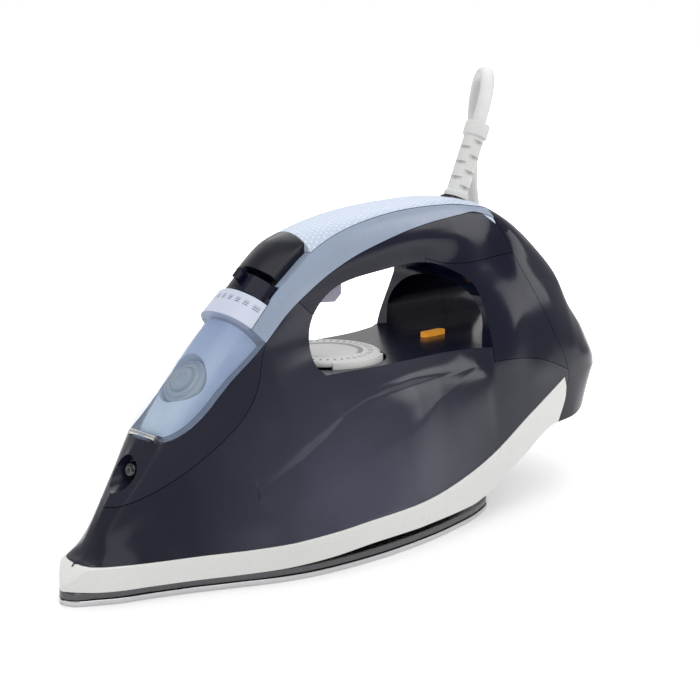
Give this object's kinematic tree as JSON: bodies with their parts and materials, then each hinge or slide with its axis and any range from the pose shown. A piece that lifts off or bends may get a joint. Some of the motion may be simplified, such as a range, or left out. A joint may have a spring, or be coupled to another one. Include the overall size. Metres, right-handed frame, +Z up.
{
  "type": "clothes iron",
  "caption": "Steam iron with a pointed ironing plate, smoke tank with a clear filling door, looped handle, tunnel heel, turning steam drum and temperature dial, and a mains lead.",
  "frame": {"origin": "centre of the iron in plan, on the ironing face", "axes": "-X towards the nose tip, +X towards the heel, +Z up from the ironing face to the handle"},
  "size_m": [0.3248, 0.2105, 0.215],
  "materials": {
    "sole_coating": "smooth dark coating with a bright edge",
    "cast_alloy": "cast",
    "steel": "pressed sheet",
    "brass": "plain",
    "dial_white": "satin",
    "skirt_white": "satin",
    "smoke_tank": "glossy, smoke tinted",
    "dark_shell": "glossy",
    "black_plastic": "satin",
    "blue_clear": "clear, blue tinted",
    "silicone": "translucent",
    "pale_blue": "satin",
    "ice_blue": "satin",
    "pale_grip": "dotted soft grip",
    "lilac_plastic": "translucent",
    "amber_lens": "translucent",
    "rubber_black": "matte",
    "cord_white": "satin",
    "guard_white": "satin"
  },
  "bodies": {
    "shell": {"soleplate": "sole_coating", "heating_base": "cast_alloy", "steam_chamber_cover": "steel", "heating_element": "steel", "thermal_fuse": "brass", "thermostat": "steel", "skirt": "skirt_white", "tank_body": "smoke_tank", "nose_cover": "dark_shell", "spray_nozzle": "black_plastic", "steam_scale_ring": "pale_blue", "side_band": "ice_blue", "grip_pad": "pale_grip", "spray_pump": "brass", "handle_shell": "dark_shell", "arch_frame": "dark_shell", "rear_cover": "dark_shell", "indicator_lens": "amber_lens", "heel_pad_left": "rubber_black", "heel_pad_right": "rubber_black", "rear_screw_left": "steel", "rear_screw_right": "steel", "terminal_block": "cord_white", "cord_bushing": "black_plastic", "door_hinge_pin": "steel", "cord": "cord_white", "cord_coil": "cord_white", "plug_body": "cord_white", "plug_pin_left": "steel", "plug_pin_right": "steel"},
    "dial": {"temperature_dial": "dial_white", "thermostat_shaft": "steel"},
    "steam_lever": {"steam_drum": "dark_shell", "steam_pointer": "dark_shell", "steam_valve_rod": "brass"},
    "door": {"fill_door": "blue_clear", "fill_plug": "silicone"},
    "button": {"spray_button": "dark_shell"},
    "trigger": {"steam_trigger": "lilac_plastic"},
    "guard": {"cord_guard": "guard_white"}
  },
  "joints": [
    {"name": "dial_turn", "type": "hinge", "parent": "shell", "child": "dial", "pos_m": [-0.0065, 0, 0.0872], "axis": [0, 0, 1], "range_deg": [-135, 135]},
    {"name": "steam_lever_turn", "type": "hinge", "parent": "shell", "child": "steam_lever", "pos_m": [-0.05176, 0, 0.11214], "axis": [0.7314, 0, 0.682], "range_deg": [-25, 25]},
    {"name": "door_open", "type": "hinge", "parent": "shell", "child": "door", "pos_m": [-0.1135, 0, 0.0656], "axis": [0, -1, 0], "range_deg": [0, 60]},
    {"name": "spray_press", "type": "slide", "parent": "shell", "child": "button", "axis": [0, 0, -1], "range_m": [0, 0.003], "stiffness_N_per_m": 400, "springref_m": -0.002},
    {"name": "steam_press", "type": "slide", "parent": "shell", "child": "trigger", "axis": [0, 0, 1], "range_m": [0, 0.003], "stiffness_N_per_m": 400, "springref_m": -0.002},
    {"name": "guard_twist", "type": "hinge", "parent": "shell", "child": "guard", "pos_m": [0.0815, 0, 0.1515], "axis": [0.4147, 0, 0.91], "range_deg": [-90, 90]}
  ]
}
